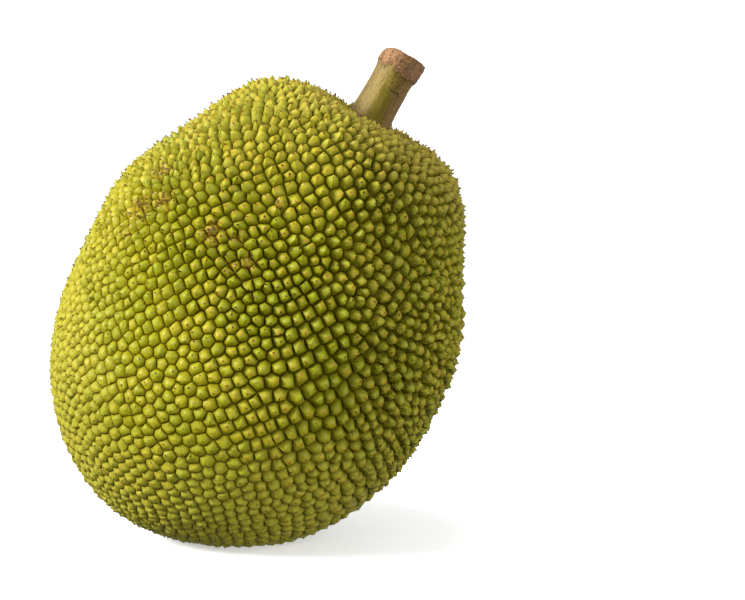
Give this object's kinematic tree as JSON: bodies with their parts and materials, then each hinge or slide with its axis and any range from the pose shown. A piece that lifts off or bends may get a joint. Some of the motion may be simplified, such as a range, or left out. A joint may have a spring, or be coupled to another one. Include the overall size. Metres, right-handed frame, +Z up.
{
  "type": "jackfruit",
  "caption": "Whole jackfruit with a pointed, knobbly yellow-green rind and a short cut stalk, leaning on a small flat spot near its lower end.",
  "frame": {"origin": "middle of the small flat spot that the fruit rests on", "axes": "+Z up; the stalk leans up and towards +X; the front, as usually seen, faces -Y"},
  "size_m": [0.259, 0.2391, 0.3076],
  "materials": {
    "rind": "matt to faintly waxy yellow-green rind, covered in blunt pointed tubercles with brown tips and dark seams between them",
    "stalk": "dull brown-green bark, corky and reddish by the cut, with a pale dry cut face"
  },
  "bodies": {
    "root": {"fruit": "rind", "stalk": "stalk"}
  },
  "joints": []
}
